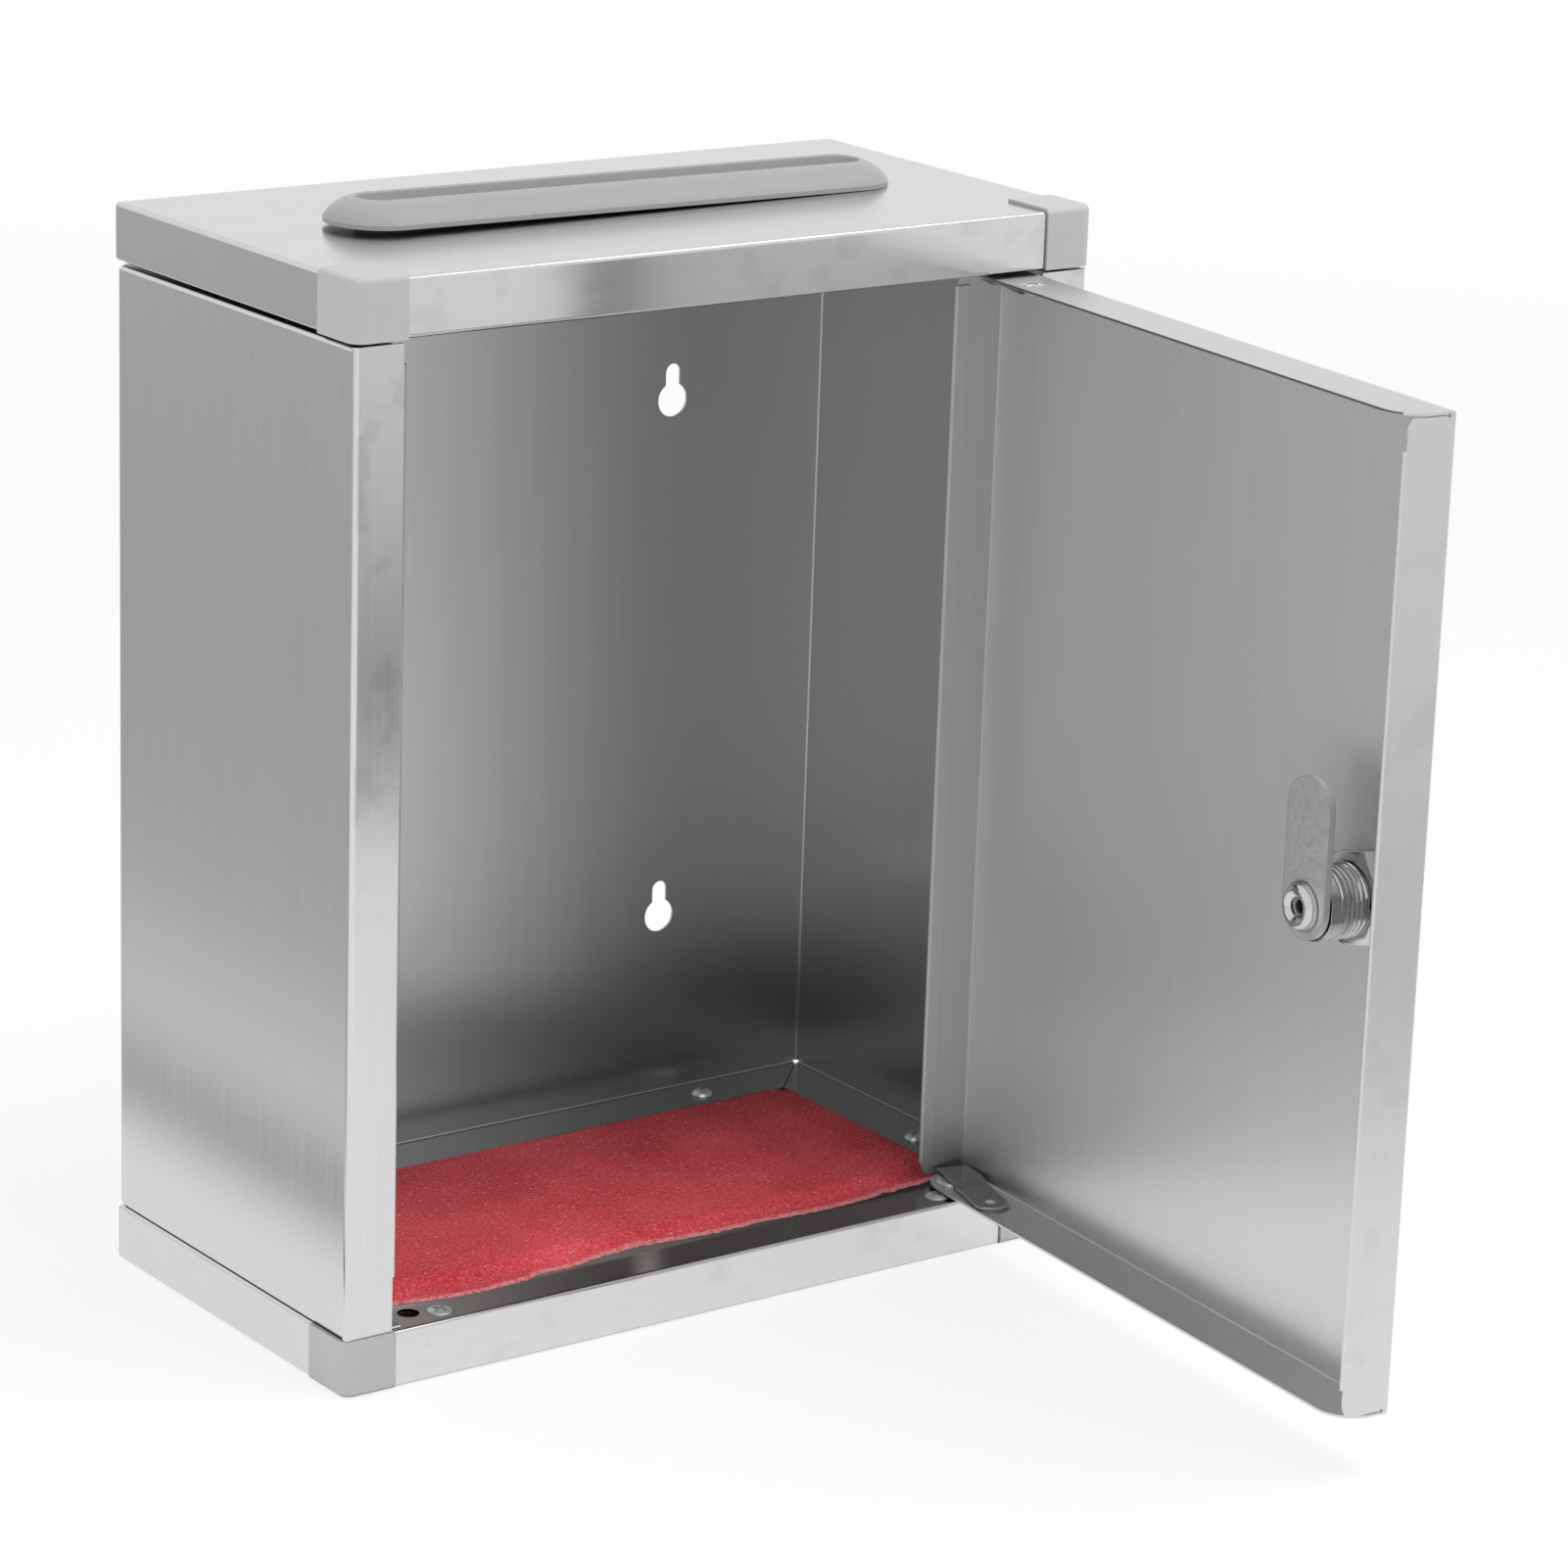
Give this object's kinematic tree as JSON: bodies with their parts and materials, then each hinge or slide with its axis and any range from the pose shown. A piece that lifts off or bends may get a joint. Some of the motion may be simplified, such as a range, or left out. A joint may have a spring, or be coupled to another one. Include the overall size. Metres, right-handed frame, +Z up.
{
  "type": "donation box",
  "caption": "Upright folded stainless-steel donation box with a slotted top, grey plastic corners, a hinged front door with a cam lock and a red foam mat inside.",
  "frame": {"origin": "middle of the underside of the base tray, on the surface that the box stands on", "axes": "+Z up, -Y towards the door side, +Y towards the wall, +X to the hinge side"},
  "size_m": [0.2366, 0.3045, 0.3079],
  "materials": {
    "stainless_sheet": "brushed stainless sheet, folded",
    "grey_abs": "fine moulded grain, light grey",
    "zinc_steel": "bright zinc plate",
    "chromed_zinc": "satin nickel and chrome over die-cast zinc",
    "brass": "stamped brass",
    "red_foam": "closed-cell foam sheet, matt with fine sparkle"
  },
  "bodies": {
    "case": {"base_tray": "stainless_sheet", "top_tray": "stainless_sheet", "body_shell": "stainless_sheet", "base_cap_left": "grey_abs", "base_cap_right": "grey_abs", "top_cap_left": "grey_abs", "top_cap_right": "grey_abs", "slot_bezel": "grey_abs", "cap_screws": "zinc_steel", "flange_screws": "zinc_steel", "foam_mat": "red_foam"},
    "door": {"door_panel": "stainless_sheet", "hinge_plate_bottom": "zinc_steel", "hinge_plate_top": "zinc_steel", "hinge_pin_bottom": "zinc_steel", "hinge_pin_top": "zinc_steel", "hinge_rivets": "zinc_steel", "lock_housing": "chromed_zinc", "lock_nut": "chromed_zinc"},
    "lock_rotor": {"lock_plug": "chromed_zinc", "lock_wafers": "brass", "lock_cam": "zinc_steel", "cam_screw": "chromed_zinc"}
  },
  "joints": [
    {"name": "door_hinge", "type": "hinge", "parent": "case", "child": "door", "pos_m": [0.092, -0.051, 0.15], "axis": [0, 0, 1], "range_deg": [-85.6, 7]},
    {"name": "lock_turn", "type": "hinge", "parent": "door", "child": "lock_rotor", "pos_m": [0.08836, -0.22012, 0.151], "axis": [0.9971, -0.0767, 0], "range_deg": [0, 90]}
  ]
}
